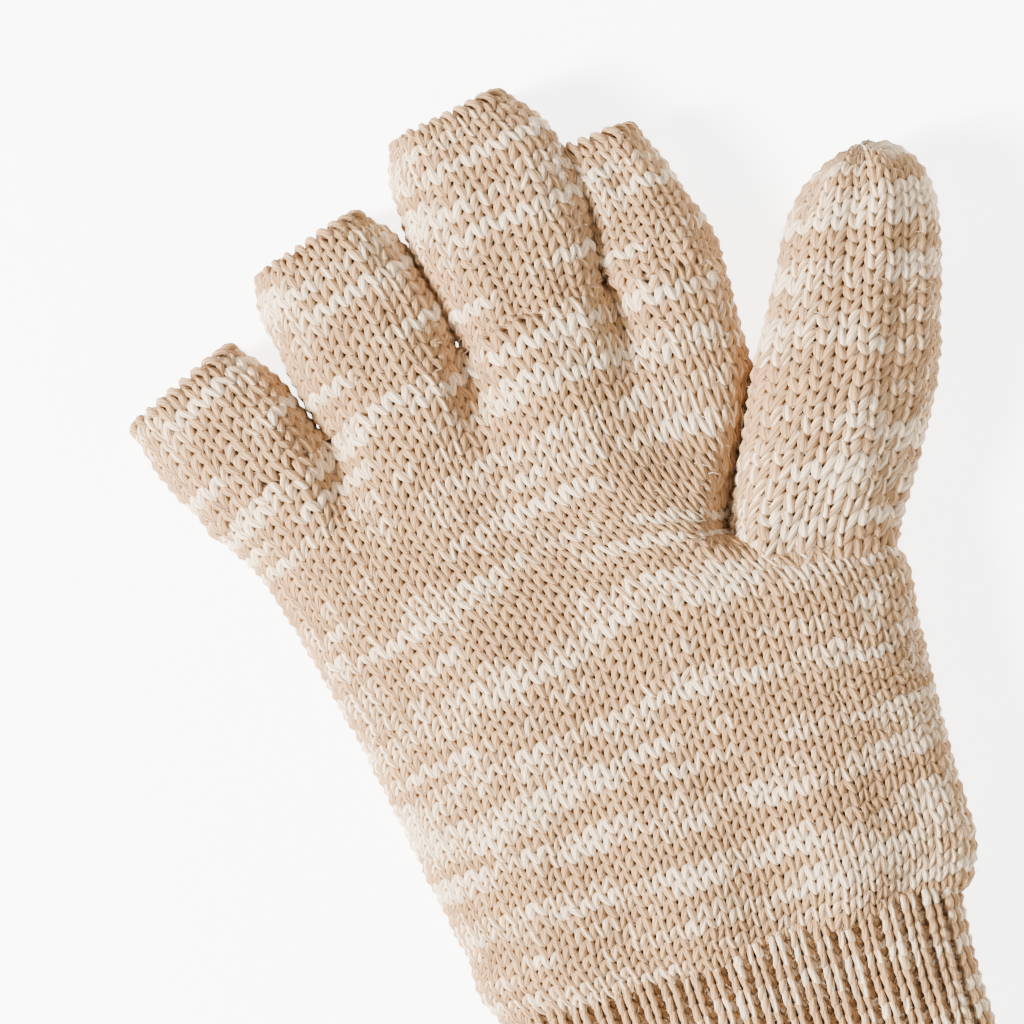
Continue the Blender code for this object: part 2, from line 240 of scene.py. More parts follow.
def marl_group() -> bpy.types.NodeTree:
    """Group that dyes the yarn: tan, with cream flecks that come in bands of courses, and paints shade
    between its plies.

    Returns:
        The group, which puts out the yarn's Color.
    """
    group = new_group(
        "marl_dye_and_groove_shade",
        {
            "Tan": ("NodeSocketColor", (0.6, 0.4, 0.3, 1)),
            "Shade": ("NodeSocketColor", (0.5, 0.3, 0.2, 1)),
            "Cream": ("NodeSocketColor", (0.9, 0.85, 0.8, 1)),
            "Ply": ("NodeSocketFloat", 0.5),
            "Fibre": ("NodeSocketFloat", 0.5),
            "GrooveShade": ("NodeSocketFloat", 0.0),
            "Amount": ("NodeSocketFloat", 0.5),
        },
        {"Color": "NodeSocketColor"},
    )
    n = Nodes(group)
    start, end = group.nodes[0], group.nodes[1]
    ply, fibre = start.outputs["Ply"], start.outputs["Fibre"]
    uv = n.add("ShaderNodeUVMap", uv_map="Yarn").outputs[0]
    place = n.add("ShaderNodeSeparateXYZ", {0: uv}).outputs
    slow, quick = streak(n, place, 0.03, 0.42, 3.1, 1.0), streak(n, place, 0.045, 7.3, 9.4, 0.0)
    band = n.ramp(n.maths("ADD", slow, quick), 0.82, 1.18)
    chance = n.maths("MULTIPLY", n.maths("MULTIPLY", band, 0.27), start.outputs["Amount"])
    masks = []
    for offset, rare in ((23.0, 0.0), (57.0, 0.055)):
        stitch = n.maths("MULTIPLY", streak(n, place, 2.6, 9.7, offset + 5, 0.0), 0.2)
        run = n.maths("ADD", streak(n, place, 0.27, 7.31, offset, 1.0), stitch)
        masks.append(n.ramp(n.maths("ADD", run, chance), 0.745 + rare, 0.825 + rare))
    first = n.maths("MULTIPLY", ply, masks[0])
    second = n.maths("MULTIPLY", n.maths("SUBTRACT", 1.0, ply), masks[1])
    cream = n.maths("MULTIPLY", n.maths("ADD", first, second), n.ramp(fibre, 0.2, 0.45))
    tone = n.ramp(streak(n, place, 0.5, 2.1, 81.0, 2.0), 0.3, 0.7)
    tan = n.mix(tone, start.outputs["Shade"], start.outputs["Tan"])
    tan = n.mix(n.ramp(fibre, 0.68, 0.3), tan, start.outputs["Shade"])
    worn = n.mix(cream, tan, start.outputs["Cream"])
    # painted shade: the colour is made darker between the plies, where shade falls
    colour = n.mix(start.outputs["GrooveShade"], worn, n.paint_shade(1.0, worn))
    group.links.new(colour, end.inputs["Color"])
    return group


@dataclass(frozen=True)
class MarlYarn:
    """Two-ply marl yarn with a soft, slightly hairy surface."""

    name: str
    tan: tuple = (0.745, 0.45, 0.205, 1)
    shade: tuple = (0.49, 0.275, 0.125, 1)
    cream: tuple = (1.0, 0.765, 0.50, 1)
    sunk_painted_shade: float = 0.5  # painted shade: how much darker the yarn is where it lies deep in the fabric
    amount: float = 1.0  # how many cream flecks there are
    turns: float = 3.0  # turns of the twist in one loop
    strands: float = 3.0
    bump: float = 1.0
    relief: float = 0.3  # in millimetres

    def material(self) -> bpy.types.Material:
        """Makes the yarn's material.

        Returns:
            The material, which reads the piece's Ply and Yarn maps and the attribute that paints shade
            where the yarn lies deep.
        """
        made = bpy.data.materials.new(self.name)
        made.use_nodes = True
        n = Nodes(made.node_tree)
        shader = made.node_tree.nodes["Principled BSDF"]
        inputs = {"Turns": self.turns, "Strands": self.strands}
        group = shared("ply_twist", twist_group)
        twist = n.add("ShaderNodeGroup", inputs, node_tree=group).outputs
        inputs = {
            "Tan": self.tan,
            "Shade": self.shade,
            "Cream": self.cream,
            "Amount": self.amount,
            "Ply": twist["Ply"],
            "Fibre": twist["Fibre"],
            "GrooveShade": twist["GrooveShade"],
        }
        group = shared("marl_dye_and_groove_shade", marl_group)
        # the yarn's dye, with the painted shade between its plies
        dye_and_groove_shade = n.add("ShaderNodeGroup", inputs, node_tree=group).outputs["Color"]
        # painted shade: the yarn is darker where it lies deep in the fabric
        crevice_shade = n.add("ShaderNodeAttribute", attribute_name="CreviceShade").outputs["Fac"]
        colour = n.mix(crevice_shade, dye_and_groove_shade, n.paint_shade(self.sunk_painted_shade, dye_and_groove_shade))
        made.node_tree.links.new(colour, shader.inputs["Base Color"])
        inputs = {"Value": twist["Fibre"], "To Min": 0.78, "To Max": 0.98}
        rough = n.add("ShaderNodeMapRange", inputs).outputs[0]
        made.node_tree.links.new(rough, shader.inputs["Roughness"])
        inputs = {"Height": twist["Height"], "Distance": self.relief * MM, "Strength": self.bump}
        bump = n.add("ShaderNodeBump", inputs).outputs[0]
        made.node_tree.links.new(bump, shader.inputs["Normal"])
        shader.inputs["Sheen Weight"].default_value = 0.05
        shader.inputs["Sheen Roughness"].default_value = 0.6
        shader.inputs["Specular IOR Level"].default_value = 0.12
        return made


@dataclass(frozen=True)
class PlainFinish:
    """A plain finish with a little mottling, for what is mostly out of sight."""

    name: str
    colour: tuple
    dark: tuple
    roughness: float = 0.9
    scale: float = 900.0
    relief: float = 0.1  # in millimetres

    def material(self) -> bpy.types.Material:
        """Makes the finish's material.

        Returns:
            The material, which reads Object coordinates.
        """
        made = bpy.data.materials.new(self.name)
        made.use_nodes = True
        n = Nodes(made.node_tree)
        shader = made.node_tree.nodes["Principled BSDF"]
        place = n.add("ShaderNodeTexCoord").outputs["Object"]
        inputs = {"Vector": place, "Scale": self.scale, "Detail": 3.0}
        noise = n.add("ShaderNodeTexNoise", inputs).outputs["Fac"]
        made.node_tree.links.new(n.mix(noise, self.dark, self.colour), shader.inputs["Base Color"])
        inputs = {"Height": noise, "Distance": self.relief * MM, "Strength": 0.5}
        made.node_tree.links.new(n.add("ShaderNodeBump", inputs).outputs[0], shader.inputs["Normal"])
        shader.inputs["Roughness"].default_value = self.roughness
        return made


def shared(name: str, make: Callable[[], bpy.types.NodeTree]) -> bpy.types.NodeTree:
    """A node group that several materials use, made once."""
    return bpy.data.node_groups.get(name) or make()


# ---------------------------------------------------------------- forms


def smooth(value: np.ndarray | float, low: float, high: float) -> np.ndarray:
    """Smooth step from 0 at low to 1 at high."""
    t = np.clip((np.asarray(value, float) - low) / (high - low), 0.0, 1.0)
    return t * t * (3 - 2 * t)


def uneven(rng: np.random.Generator, wale: np.ndarray, course: np.ndarray, wales: int) -> np.ndarray:
    """Random values, one to a stitch, read smoothly between stitches and round a tube.

    Args:
        rng: what they are drawn from.
        wale: places round the tube, in wales.
        course: places along it, in courses from -1 up.
        wales: how many wales go round.

    Returns:
        One value for each place.
    """
    table = rng.normal(0.0, 1.0, (int(course.max()) + 4, wales))
    i, j = np.floor(course).astype(int), np.floor(wale).astype(int)
    a, b = smooth(course - i, 0.0, 1.0), smooth(wale - j, 0.0, 1.0)
    i = i + 2
    low = table[i, j % wales] * (1 - b) + table[i, (j + 1) % wales] * b
    high = table[i + 1, j % wales] * (1 - b) + table[i + 1, (j + 1) % wales] * b
    return low * (1 - a) + high * a


def outline(points: list[tuple], t: np.ndarray) -> np.ndarray:
    """Points along a smooth curve through a few chosen ones.

    Args:
        points: the chosen points, two or more.
        t: places along the curve as shares of its length; past 0 and 1 it runs on straight.

    Returns:
        One row for each place.
    """
    p = np.array(points, float)
    if p.ndim == 1:
        p = p[:, None]
    steps = np.linalg.norm(np.diff(p, axis=0), axis=1) if p.shape[1] > 1 else np.ones(len(p) - 1)
    knots = np.concatenate(([0.0], np.cumsum(steps)))
    knots /= knots[-1]
    slope = np.gradient(p, knots, axis=0)
    k = np.clip(np.searchsorted(knots, t, side="right") - 1, 0, len(knots) - 2)
    width = (knots[k + 1] - knots[k])[:, None]
    s = np.clip((t - knots[k]) / width[:, 0], 0.0, 1.0)[:, None]
    a = 2 * s**3 - 3 * s**2 + 1
    b = s**3 - 2 * s**2 + s
    c = -2 * s**3 + 3 * s**2
    d = s**3 - s**2
    found = a * p[k] + b * width * slope[k] + c * p[k + 1] + d * width * slope[k + 1]
    over = (t - np.clip(t, 0.0, 1.0))[:, None]
    return found + over * np.where(over < 0, slope[0], slope[-1])


@dataclass
class Form:
    """The pressed shape of a tube, listed from its end nearest the cuff.

    left and right are its outlines in plan; thick, floor and lift are read along it: floor is the
    height of its underside and lift raises its left side.
    """

    wales: int
    courses: int
    left: list[tuple]
    right: list[tuple]
    thick: list[float]
    floor: list[float] = field(default_factory=lambda: [0.0, 0.0])
    lift: list[float] = field(default_factory=lambda: [0.0, 0.0])
    lift_fall: tuple[float, float] = (0.0, 1.0)  # shares across between which the lift falls off
    seed: int = 1
    wrinkle: float = 0.35  # size of the fabric's soft swells
    root_arch: float = 0.0  # how far the first courses bow, to meet those that they grow from
    laid: tuple | None = field(default=None, repr=False)  # the grid, once it is made

    def bend(self, points: np.ndarray, t: float, s: np.ndarray) -> np.ndarray:
        """Last change to a section's points.

        Args:
            points: the section, in millimetres.
            t: how far along the tube it is, as a share.
            s: how far across each point is, as a share.

        Returns:
            The changed points.
        """
        place = points.copy()
        fade = np.clip(1 - t * self.courses / 6, 0.0, 1.2) ** 2
        place[:, 1] += self.root_arch * fade * 4 * s * (1 - s)
        return place

    def sections(self) -> tuple[np.ndarray, np.ndarray]:
        """Points of the fabric's middle surface, before it swells.

        Returns:
            How far along each row of points is, as a share, and the points.
        """
        t = np.arange(-SAMPLES, (self.courses + 1) * SAMPLES + 1) / SAMPLES / self.courses
        left, right = outline(self.left, t), outline(self.right, t)
        thick, floor, lift = (outline(list(v), t)[:, 0] for v in (self.thick, self.floor, self.lift))
        side = (right - left) / np.linalg.norm(right - left, axis=1)[:, None] * FABRIC_INSET
        left, right = left + side, right - side
        angle = math.pi - 2 * math.pi * np.arange(SECTION_STEPS + 1) / SECTION_STEPS
        x = np.sign(np.cos(angle)) * np.abs(np.cos(angle)) ** (2 / SQUARENESS)
        z = np.sign(np.sin(angle)) * np.abs(np.sin(angle)) ** (2 / SQUARENESS)
        share = (x + 1) / 2
        count = self.wales * SAMPLES
        found = np.empty((len(t), count + 1, 3))
        for i in range(len(t)):
            half = max(thick[i] - 2 * FABRIC_INSET, THINNEST) / (1 + FLAT)
            plan = left[i] + (right[i] - left[i]) * share[:, None]
            height = FABRIC_INSET + floor[i] + half * (np.maximum(z, -FLAT) + FLAT)
            height = height + lift[i] * (1 - smooth(share, *self.lift_fall))
            section = self.bend(np.column_stack((plan, height)), t[i], share)
            steps = np.linalg.norm(np.diff(section, axis=0), axis=1)
            walk = np.concatenate(([0.0], np.cumsum(steps)))
            places = np.arange(count + 1) / count * walk[-1]
            for axis in range(3):
                found[i, :, axis] = np.interp(places % walk[-1], walk, section[:, axis])
        found[:, -1] = found[:, 0]
        return t, found

    @staticmethod
    def normals(found: np.ndarray) -> np.ndarray:
        """Outward normals of a grid that closes on itself, smoothed round the tube.

        Args:
            found: the grid's points.

        Returns:
            A normal for each point.
        """
        closed = np.concatenate((found[:, -2:-1], found, found[:, 1:2]), axis=1)
        around = np.gradient(closed, axis=1)[:, 1:-1]
        normal = np.cross(around, np.gradient(found, axis=0))
        normal /= np.linalg.norm(normal, axis=2)[:, :, None] + 1e-9
        for _ in range(2):
            ring = normal[:, :-1]
            normal[:, :-1] = ring + np.roll(ring, 1, 1) + np.roll(ring, -1, 1)
            normal[:, -1] = normal[:, 0]
            normal /= np.linalg.norm(normal, axis=2)[:, :, None]
        return normal

    def grid(self) -> tuple[np.ndarray, np.ndarray]:
        """The fabric's middle surface, with SAMPLES points to a stitch each way.

        Returns:
            Its points and its outward normals.
        """
        if self.laid:
            return self.laid
        t, found = self.sections()
        normal = self.normals(found)
        rng = np.random.default_rng(self.seed)
        swell = np.zeros(found.shape[:2])
        turn = 2 * math.pi * np.arange(found.shape[1]) / (found.shape[1] - 1)
        for _ in range(SWELLS):
            waves, pace, start = rng.integers(2, 9), rng.uniform(-5, 5), rng.uniform(0, 2 * math.pi)
            swell += np.sin(turn[None, :] * waves + t[:, None] * pace * 2 + start)
        lifted = smooth(found[:, :, 2], 0.5, 4.0)
        found += normal * (swell * lifted * self.wrinkle / 4)[:, :, None]
        self.laid = found, normal
        return self.laid

    def place(self, wale: np.ndarray, course: np.ndarray, depth: np.ndarray) -> np.ndarray:
        """Where points of the flat swatch lie on the tube, in metres.

        Args:
            wale: how many wales round, from the left side over the top.
            course: how many courses up from the first.
            depth: height above the middle of the fabric, in millimetres.

        Returns:
            Points in the frame.
        """
        found, normal = self.grid()
        u = (wale % self.wales) * SAMPLES
        v = np.clip((course + 1) * SAMPLES, 0, found.shape[0] - 1.001)
        i, j = v.astype(int), np.minimum(u.astype(int), self.wales * SAMPLES - 1)
        a, b = (v - i)[:, None], (u - j)[:, None]

        def blend(values: np.ndarray) -> np.ndarray:
            """Reads a grid between its samples.

            Args:
                values: the grid.

            Returns:
                A value for each place.
            """
            low = values[i, j] * (1 - b) + values[i, j + 1] * b
            high = values[i + 1, j] * (1 - b) + values[i + 1, j + 1] * b
            return low * (1 - a) + high * a

        return (blend(found) + blend(normal) * depth[:, None]) * MM

    def girth(self) -> float:
        """Mean length round the tube, in metres."""
        found, _ = self.grid()
        return float(np.linalg.norm(np.diff(found, axis=1), axis=2).sum(axis=1).mean()) * MM

    def length(self) -> float:
        """Mean length along the tube.

        Returns:
            The length, in metres.
        """
        found, _ = self.grid()
        inner = found[SAMPLES:-SAMPLES]
        return float(np.linalg.norm(np.diff(inner, axis=0), axis=2).sum(axis=0).mean()) * MM


@dataclass
class HandForm(Form):
    """The hand, whose courses arch up to the knuckles and dip towards the thumb."""

    forks: list[float] = field(default_factory=list)  # how far across the finger forks are
    fork_dip: float = 0.8  # how nearly the two layers meet at a fork
    fork_width: float = 3.0
    thumb_fork: tuple = (0.0, 0.0)  # in plan
    thumb_lean: float = 0.0  # of the thumb's inner edge, in degrees
    thumb_course: float = 28.0  # the course that the thumb grows from
    course_height: float = 2.07
    arch: float = 6.0  # how far the last course arches up
    drop: float = 7.0  # how far courses dip towards the thumb
    pressed: float = 5.4  # height of the hand where the thumb lies on it

    def bend(self, points: np.ndarray, t: float, s: np.ndarray) -> np.ndarray:
        """Arches the course, closes it at the forks, and flattens it under the thumb.

        Args:
            points: the section, in millimetres.
            t: how far along the hand it is, as a share.
            s: how far across each point is, as a share.

        Returns:
            The changed points.
        """
        place = points.copy()
        place[:, 1] += self.arch * max(t, 0.0) ** 2 * (4 * s * (1 - s)) ** 0.9
        hump = smooth(t, 0.15, 0.55) * (1 - smooth(t, 0.68, 0.86))
        place[:, 1] -= self.drop * hump * smooth(s, 0.52, 0.95)
        middle = (place[:, 2].max() + place[:, 2].min()) / 2
        near = smooth(t, 0.82, 1.0) * self.fork_dip
        for x in self.forks:
            dip = near * np.exp(-(((place[:, 0] - x) / self.fork_width) ** 2))
            place[:, 2] = middle + (place[:, 2] - middle) * (1 - dip)
        lean = math.tan(math.radians(self.thumb_lean))
        past = place[:, 0] - (self.thumb_fork[0] + lean * (place[:, 1] - self.thumb_fork[1]))
        above = (t * self.courses - self.thumb_course) * self.course_height
        under = smooth(past, -8.0, 2.0) * smooth(above, 0.6, 6.0)
        cap = place[:, 2].max() * (1 - under) + self.pressed * under
        place[:, 2] = np.minimum(place[:, 2], np.maximum(cap, FABRIC_INSET))
        return place


@dataclass
class ThumbForm(Form):
    """The thumb, whose first courses lie in the hand's own surface."""

    middle: float = 2.2  # middle of the hand at the course that the thumb grows from
    half_width: float = 42.9
    hand_thick: float = 18.0

    def bend(self, points: np.ndarray, t: float, s: np.ndarray) -> np.ndarray:
        """Bows the first courses and lowers them to the hand's rounded side.

        Args:
            points: the section, in millimetres.
            t: how far along the thumb it is, as a share.
            s: how far across each point is, as a share.

        Returns:
            The changed points.
        """
        place = super().bend(points, t, s)
        share = np.clip(np.abs(place[:, 0] - self.middle) / self.half_width, 0.0, 1.0)
        dome = (1 - share**SQUARENESS) ** (1 / SQUARENESS)
        cap = FABRIC_INSET + (self.hand_thick - 2 * FABRIC_INSET) / (1 + FLAT) * (dome + FLAT)
        fade = np.clip(1.15 - t * self.courses / 8, 0.0, 1.0) ** 2
        place[:, 2] += (np.minimum(place[:, 2], cap) - place[:, 2]) * fade
        return place


# ---------------------------------------------------------------- yarn


@dataclass(frozen=True)
class Loop:
    """One loop of yarn in the flat swatch, in stitches and millimetres."""

    radius: float = 0.68
    reach: float = 0.80  # how far a loop runs up and down, in courses
    lean: float = 0.262  # how much its legs splay, in wales
    depth: float = 0.58  # how far legs stand out and heads lie back
    steps: int = 12
    sides: int = 6
    wale: float = 2.6  # size of the stitch that the loop is drawn at
    course: float = 2.02
    rib_lift: float = 0.4  # how far a rib's knit wales stand out
    rib_sink: float = 0.6  # how far its purl wales lie back
    rib_share: float = 1.56  # width of a rib's knit wale; its purl wale has the rest of two
    purl_depth: float = 0.3  # how strongly a purl is curved, as a share of a knit loop
    joint_sink: float = 0.55  # how deep the yarn passes from wale to wale, as a share of rib_sink

    def centre(self, turn: float, stitch: Stitch, purl: bool) -> Vector:
        """Place of the yarn's middle.

        Args:
            turn: how far round the loop, from -pi to pi.
            stitch: the fabric.
            purl: whether the loop is a rib's purl.

        Returns:
            The place, in millimetres.
        """
        x = turn / (2 * math.pi) + self.lean * math.sin(2 * turn)
        if stitch is Stitch.RIB:
            x *= 2 - self.rib_share if purl else self.rib_share
        y = -self.reach * math.cos(turn)
        z = -self.depth * math.cos(2 * turn)
        if stitch is Stitch.RIB:
            z = z if abs(turn) < 0.75 * math.pi else 0.0
            z = -self.purl_depth * z - self.rib_sink if purl else z + self.rib_lift
            rise = smooth(abs(turn), 0.6 * math.pi, math.pi)
            z += (-self.joint_sink * self.rib_sink - z) * float(rise)
        return Vector((x * self.wale, y * self.course, z))

    def frame(self, turn: float, stitch: Stitch, purl: bool) -> Matrix:
        """Placement of the yarn's section.

        Args:
            turn: how far round the loop, from -pi to pi.
            stitch: the fabric.
            purl: whether the loop is a rib's purl.

        Returns:
            The placement, with the yarn's direction as its z axis.
        """
        step = 0.01
        ahead = self.centre(turn + step if turn < math.pi - step else turn, stitch, purl)
        behind = self.centre(turn - step if turn > -math.pi + step else turn, stitch, purl)
        if abs(abs(turn) - math.pi) < step:
            tangent = Vector((1, 0, 0))
        else:
            tangent = (ahead - behind).normalized()
        side = tangent.cross(Vector((0, 0, 1))).normalized()
        rise = side.cross(tangent)
        matrix = Matrix((side, rise, tangent)).transposed().to_4x4()
        matrix.translation = self.centre(turn, stitch, purl)
        return matrix


def new_mesh(name: str, bm: bmesh.types.BMesh) -> bpy.types.Mesh:
    """Makes a mesh of what a bmesh holds, and frees the bmesh.

    Args:
        name: the mesh's name.
        bm: what it is made of.

    Returns:
        The mesh.
    """
    mesh = bpy.data.meshes.new(name)
    bm.to_mesh(mesh)
    bm.free()
    return mesh


def new_piece(name: str, mesh: bpy.types.Mesh) -> bpy.types.Object:
    """Adds a mesh to the scene as a piece.

    Args:
        name: the piece's name.
        mesh: its mesh.

    Returns:
        The piece.
    """
    piece = bpy.data.objects.new(name, mesh)
    bpy.context.scene.collection.objects.link(piece)
    return piece


def read(items: bpy.types.bpy_prop_collection, key: str, width: int) -> np.ndarray:
    """Reads one property of every item.

    Args:
        items: the vertices, or a map's data.
        key: the property.
        width: how many numbers it has.

    Returns:
        A row for each item.
    """
    values = np.empty(len(items) * width)
    items.foreach_get(key, values)
    return values.reshape(-1, width)


def repeated(name: str, mesh: bpy.types.Mesh, *repeats: tuple[int, tuple]) -> bpy.types.Mesh:
    """Repeats a mesh with Array modifiers.

    Args:
        name: name of the object that holds them.
        mesh: what is repeated.
        repeats: for each modifier, how many there are in all and how far apart.

    Returns:
        The mesh of all of them.
    """
    holder = new_piece(name, mesh)
    for count, step in repeats:
        made = holder.modifiers.new("repeat", "ARRAY")
        made.count = count
        made.use_relative_offset = False
        made.use_constant_offset = True
        made.constant_offset_displace = step
    depsgraph = bpy.context.evaluated_depsgraph_get()
    mesh = bpy.data.meshes.new_from_object(holder.evaluated_get(depsgraph), depsgraph=depsgraph)
    bpy.data.objects.remove(holder)
    return mesh


def sweep(bm: bmesh.types.BMesh, frames: list[Matrix], radius: float, sides: int) -> dict:
    """Draws a yarn through a list of placements of its section.

    Args:
        bm: the mesh to add to.
        frames: placement of each section.
        radius: the yarn's radius.
        sides: corners of its section.

    Returns:
        Vertex to (section number, corner number).
    """
    made = bmesh.ops.create_circle(bm, segments=sides, radius=radius, matrix=frames[0])["verts"]
    edges = list({e for v in made for e in v.link_edges})
    spots = {v: (0, k) for k, v in enumerate(made)}
    for number in range(1, len(frames)):
        before = {v.co.copy().freeze(): spots[v][1] for e in edges for v in e.verts}
        found = bmesh.ops.extrude_edge_only(bm, edges=edges)["geom"]
        fresh = [g for g in found if isinstance(g, bmesh.types.BMVert)]
        edges = [g for g in found if isinstance(g, bmesh.types.BMEdge)]
        for v in fresh:
            spots[v] = (number, before[v.co.copy().freeze()])
        bmesh.ops.transform(bm, matrix=frames[number] @ frames[number - 1].inverted(), verts=fresh)
    bmesh.ops.recalc_face_normals(bm, faces=bm.faces[:])
    return spots


def map_yarn(bm: bmesh.types.BMesh, spots: dict, steps: int, sides: int) -> None:
    """Writes the yarn's Ply map: along it in x and round it in y.

    Args:
        bm: the swept yarn.
        spots: what sweep() gives.
        steps: sections in one unit of the map.
        sides: corners of the section.
    """
    ply = bm.loops.layers.uv.new("Ply")
    for face in bm.faces:
        corners = [spots[c.vert][1] for c in face.loops]
        wraps = 0 in corners and sides - 1 in corners
        for corner in face.loops:
            number, k = spots[corner.vert]
            corner[ply].uv = (number / steps, (sides if wraps and k == 0 else k) / sides)


class Swatch:
    """Flat fabric: a loop repeated in wales and courses."""

    def __init__(self, loop: Loop, stitch: Stitch, wales: int, courses: int) -> None:
        """Makes the swatch's mesh.

        Args:
            loop: the loop to repeat.
            stitch: plain, or rib, whose every other wale is purled.
            wales: how many columns.
            courses: how many rows.
        """
        self.loop, self.stitch = loop, stitch
        self.wales, self.courses = wales, courses
        self.unit = 2 if stitch is Stitch.RIB else 1
        self.slack = 0.03 if stitch is Stitch.RIB else 0.075  # how uneven the stitches are
        self.rough = 1.6  # how much more uneven they are in height
        self.crevice_shade = (-1.4, 1.5) if stitch is Stitch.RIB else (0.0, 1.05)  # heights, in millimetres, over which the painted shade of deep-lying yarn fades out
        bm = bmesh.new()
        frames = []
        for number in range(self.unit):
            shift = Matrix.Translation((number * loop.wale, 0, 0))
            turns = [-math.pi + 2 * math.pi * k / loop.steps for k in range(loop.steps + 1)]
            found = [shift @ loop.frame(turn, stitch, number == 1) for turn in turns]
            frames += found if number == 0 else found[1:]
        spots = sweep(bm, frames, loop.radius, loop.sides)
        map_yarn(bm, spots, loop.steps, loop.sides)
        mesh = new_mesh("loop", bm)
        self.corners = len(mesh.loops)
        across = (wales // self.unit, (self.unit * loop.wale, 0, 0))
        self.mesh = repeated("swatch", mesh, across, (courses, (0, loop.course, 0)))

    @staticmethod
    def drift(form: Form, wale: np.ndarray, course: np.ndarray) -> tuple[np.ndarray, np.ndarray]:
        """Moves stitches a little along and across, in waves round the tube.

        Args:
            form: the tube's pressed shape.
            wale: places round the tube, in wales.
            course: places along it, in courses.

        Returns:
            The moved wales and courses.
        """
        rng = np.random.default_rng(form.seed)
        for _ in range(DRIFTS):
            around = rng.integers(max(form.wales // 6, 2), max(form.wales // 2, 3))
            pace, start, size = rng.uniform(-1.6, 1.6), rng.uniform(0, 6.3), rng.uniform(0.014, 0.042)
            turn = 2 * math.pi * around * wale / form.wales
            wave = np.sin(turn + pace * course + start) * size
            course = course + wave
            wale = wale + wave * rng.uniform(-0.8, 0.8)
        return wale, course

    def write_maps(self, first: int, total: int) -> None:
        """Writes the Yarn map, in wales and courses, and the map that textures are baked to.

        Args:
            first: number of the swatch's first course on the tube.
            total: the number of courses that the yarn's colour bands start from.
        """
        mesh = self.mesh
        ply = read(mesh.uv_layers["Ply"].data, "uv", 2)
        copy = np.arange(len(mesh.loops)) // self.corners
        across = self.wales // self.unit
        column = (copy % across) * self.unit + ply[:, 0]
        row = copy // across
        yarn = np.column_stack((column, row + first + total))
        band = row + BAKE_GAP / 2 + (1 - BAKE_GAP) * ply[:, 1]
        bake = np.column_stack((column / self.wales, band / self.courses))
        for label, values in (("Yarn", yarn), ("OFBake", bake)):
            layer = mesh.uv_layers.new(name=label)
            layer.data.foreach_set("uv", values.ravel())

    def lay(self, name: str, form: Form, first: int, total: int) -> bpy.types.Object:
        """Lays the swatch round a tube and makes it a piece.

        Args:
            name: the piece's name.
            form: the tube's pressed shape.
            first: number of its first course on the tube.
            total: the number of courses that the yarn's colour bands start from.

        Returns:
            The piece.
        """
        mesh, loop = self.mesh, self.loop
        flat = read(mesh.vertices, "co", 3)
        wale = flat[:, 0] / loop.wale + 0.5
        course = flat[:, 1] / loop.course + 0.5 + first
        wale, course = self.drift(form, wale, course)
        sources = [np.random.default_rng(form.seed + k) for k in range(3)]
        nudge = [uneven(source, wale, course, form.wales) for source in sources]
        placed = form.place(
            wale + self.slack * nudge[0],
            course + self.slack * nudge[1],
            flat[:, 2] + self.rough * self.slack * nudge[2],
        )
        mesh.vertices.foreach_set("co", placed.ravel())
        # painted shade: 1 where the yarn lies deep in the fabric, fading to 0 where it stands out
        crevice_shade = 1 - smooth(flat[:, 2], *self.crevice_shade)
        mesh.attributes.new("CreviceShade", "FLOAT", "POINT").data.foreach_set("value", crevice_shade)
        self.write_maps(first, total)
        bm = bmesh.new()
        bm.from_mesh(mesh)
        bmesh.ops.remove_doubles(bm, verts=bm.verts[:], dist=WELD)
        bm.to_mesh(mesh)
        bm.free()
        mesh.shade_smooth()
        mesh.name = name
        return new_piece(name, mesh)


def frames_along(path: np.ndarray, closed: bool) -> list[Matrix]:
    """Placements of a yarn's section along a path, with no twist between them.

    Args:
        path: points in metres.
        closed: whether it runs back into its start.

    Returns:
        A placement for each point, and the first again at the end if it is closed.
    """
    count = len(path)
    frames = []
    for k in range(count + (1 if closed else 0)):
        here = Vector(path[k % count])
        ahead = Vector(path[(k + 1) % count]) if closed or k < count - 1 else here
        behind = Vector(path[(k - 1) % count]) if closed or k else here
        tangent = (ahead - behind).normalized()
        if frames:
            side = frames[-1].to_3x3().col[0]
            side = (side - tangent * side.dot(tangent)).normalized()
        else:
            up = Vector((0, 0, 1)) if abs(tangent.z) < 0.9 else Vector((1, 0, 0))
            side = tangent.cross(up).normalized()
        matrix = Matrix((side, tangent.cross(side), tangent)).transposed().to_4x4()
        matrix.translation = here
        frames.append(matrix)
    if closed:
        frames[-1] = frames[0].copy()
    return frames


@dataclass(frozen=True)
class Rope:
    """A single yarn that is laid along a path."""

    radius: float  # in millimetres
    start: int = 0  # where its colour bands start
    closed: bool = True  # whether it runs back into its start
    sides: int = 6
    per_turn: int = 12  # sections in one unit of its Ply map

    def lay(self, name: str, path: np.ndarray) -> bpy.types.Object:
        """Lays it along a path.

        Args:
            name: the piece's name.
            path: points in metres.

        Returns:
            The piece.
        """
        bm = bmesh.new()
        spots = sweep(bm, frames_along(path, self.closed), self.radius * MM, self.sides)
        map_yarn(bm, spots, self.per_turn, self.sides)
        if not self.closed:
            ends = [e for e in bm.edges if e.is_boundary]
            bmesh.ops.holes_fill(bm, edges=ends, sides=self.sides)
        bmesh.ops.remove_doubles(bm, verts=bm.verts[:], dist=WELD)
        bmesh.ops.recalc_face_normals(bm, faces=bm.faces[:])
        mesh = new_mesh(name, bm)
        along = read(mesh.uv_layers["Ply"].data, "uv", 2)[:, 0]
        yarn = np.column_stack((along, np.full(len(along), float(self.start))))
        mesh.uv_layers.new(name="Yarn").data.foreach_set("uv", yarn.ravel())
        mesh.shade_smooth()
        return new_piece(name, mesh)


